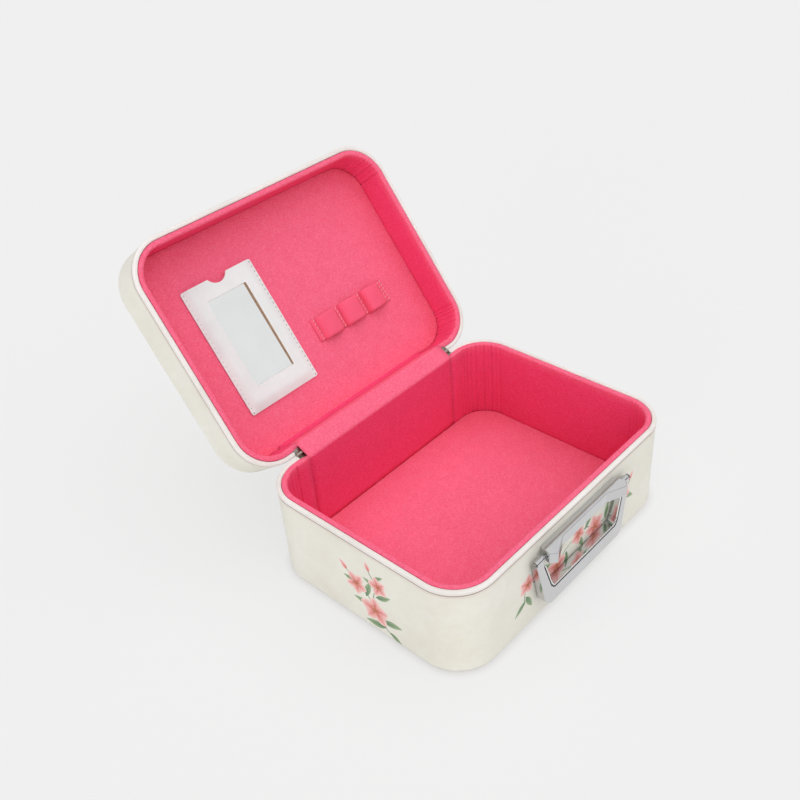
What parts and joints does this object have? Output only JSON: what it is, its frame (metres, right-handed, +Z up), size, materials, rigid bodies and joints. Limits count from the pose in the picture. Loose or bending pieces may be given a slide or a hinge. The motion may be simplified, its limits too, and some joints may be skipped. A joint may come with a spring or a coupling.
{
  "type": "vanity case",
  "caption": "Hard-shell jewellery and vanity case with a felt-lined base, a hinged lid holding a slide-out mirror and elastic loops, and a swinging chrome handle.",
  "frame": {"origin": "middle of the base's underside, on the surface the case stands on", "axes": "+Z up, handle on the -Y side, hinge along X at the +Y side, lid open towards +Y"},
  "size_m": [0.2406, 0.3275, 0.2177],
  "materials": {
    "cream_leatherette": "satin coated leatherette with fine grain",
    "white_leatherette": "satin white leatherette",
    "pink_felt": "matt needle felt",
    "grey_board": "pressed grey board",
    "chrome": "bright plated",
    "plated_steel": "nickel plated",
    "pink_elastic": "matt woven tape",
    "mirror": "silvered glass"
  },
  "bodies": {
    "base": {"base_cover": "cream_leatherette", "base_bottom_cover": "cream_leatherette", "base_bottom_board": "grey_board", "base_wall_hoop": "grey_board", "base_piping": "white_leatherette", "base_wall_lining": "pink_felt", "base_back_lining": "pink_felt", "base_floor_pad": "pink_felt", "base_closure_magnets": "plated_steel", "hinge_base_leaf": "plated_steel", "hinge_pin": "plated_steel", "base_hinge_rivets": "plated_steel", "hinge_cover_strip": "pink_felt", "handle_mount": "chrome", "handle_screws": "plated_steel", "handle_washers": "plated_steel", "handle_pivot_pins": "chrome"},
    "lid": {"lid_cover": "cream_leatherette", "lid_top_cover": "cream_leatherette", "lid_top_board": "grey_board", "lid_wall_hoop": "grey_board", "lid_piping": "white_leatherette", "lid_wall_lining": "pink_felt", "lid_back_lining": "pink_felt", "lid_panel_pad": "pink_felt", "lid_closure_magnets": "plated_steel", "hinge_lid_leaf": "plated_steel", "lid_hinge_rivets": "plated_steel", "mirror_pocket": "white_leatherette", "elastic_loops": "pink_elastic"},
    "bail": {"bail_handle": "chrome"},
    "mirror": {"mirror_glass": "mirror", "mirror_backing": "grey_board"}
  },
  "joints": [
    {"name": "lid_hinge", "type": "hinge", "parent": "base", "child": "lid", "pos_m": [0, 0.0903, 0.07425], "axis": [1, 0, 0], "range_deg": [0, 127], "deforming": ["hinge_cover_strip"]},
    {"name": "bail_hinge", "type": "hinge", "parent": "base", "child": "bail", "pos_m": [0, -0.0942, 0.0583], "axis": [-1, 0, 0], "range_deg": [0, 150]},
    {"name": "mirror_slide", "type": "slide", "parent": "lid", "child": "mirror", "axis": [0, 0.6018, 0.7986], "range_m": [0, 0.04]}
  ]
}
